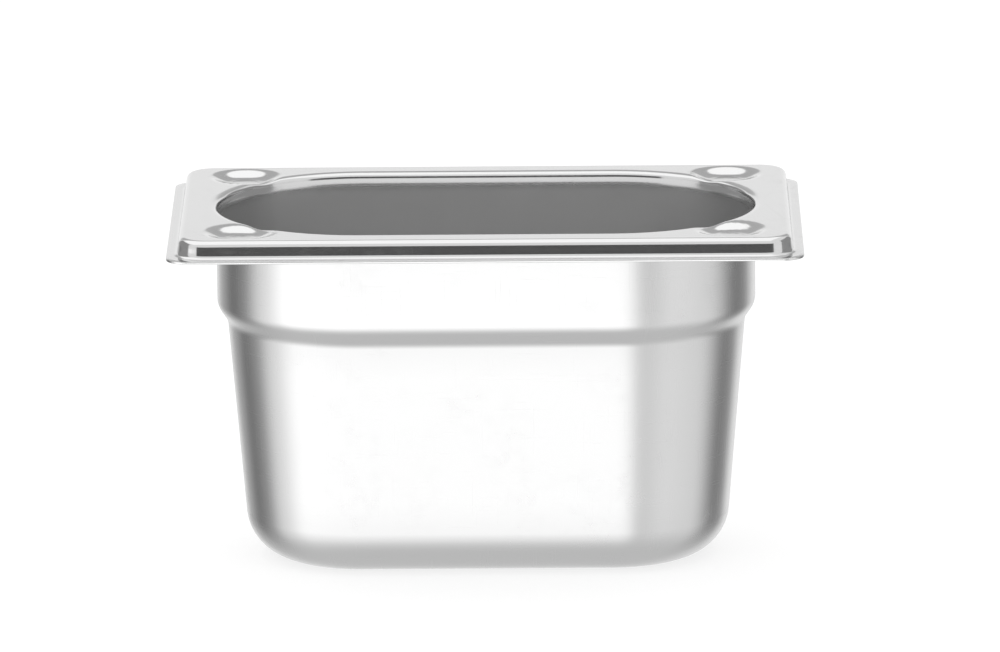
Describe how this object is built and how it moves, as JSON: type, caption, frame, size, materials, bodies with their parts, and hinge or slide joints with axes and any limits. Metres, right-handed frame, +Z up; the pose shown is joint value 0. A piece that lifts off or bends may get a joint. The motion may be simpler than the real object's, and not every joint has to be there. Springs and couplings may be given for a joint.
{
  "type": "deli food pan",
  "caption": "Small rectangular gastronorm food pan with tapered walls, a stacking step and a flat hanging rim with pocketed corners.",
  "frame": {"origin": "middle of the base's underside, on the surface that the pan stands on", "axes": "+Z up out of the mouth, X along the long side, Y along the short side"},
  "size_m": [0.176, 0.108, 0.1],
  "materials": {
    "stainless": "satin deep-drawn stainless steel, brighter on the pressed rim"
  },
  "bodies": {
    "root": {"pan": "stainless"}
  },
  "joints": []
}
